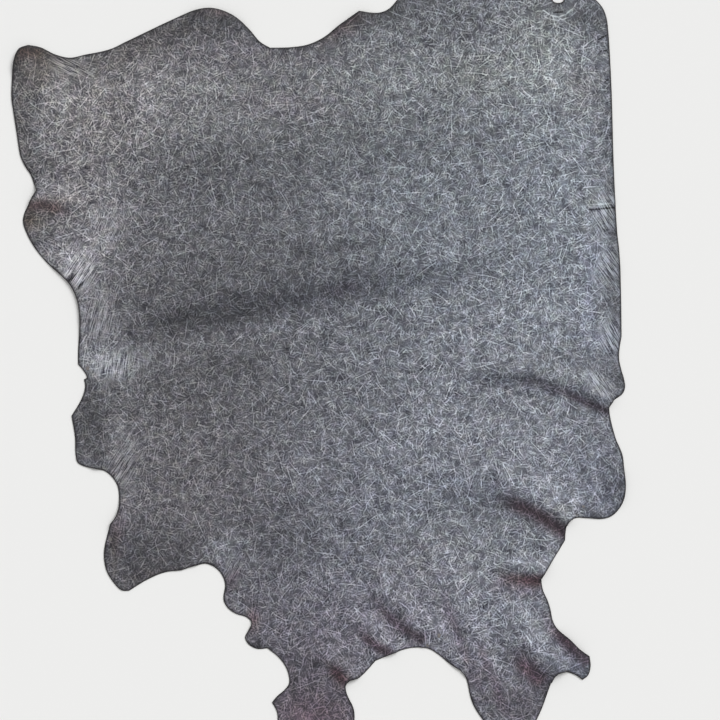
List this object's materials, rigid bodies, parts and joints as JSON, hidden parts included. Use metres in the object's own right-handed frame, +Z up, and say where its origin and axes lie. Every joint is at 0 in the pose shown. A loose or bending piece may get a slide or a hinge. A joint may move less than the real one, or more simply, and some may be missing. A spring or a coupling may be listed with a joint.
{
  "type": "leather hide",
  "caption": "Cut side of grey distressed cow leather laid grain side up, with a straight back cut, scalloped belly edge, shanks and soft stretch rolls.",
  "frame": {"origin": "centre of the bounding box at its base, on the surface that the flesh side rests on", "axes": "+X from the belly edge to the back cut, +Y towards the neck edge, +Z up out of the grain side"},
  "size_m": [1.228, 1.5678, 0.0158],
  "materials": {
    "leather": "grey distressed grain with fine pale scuffs, semi-matte"
  },
  "bodies": {
    "root": {"hide": "leather"}
  },
  "joints": []
}
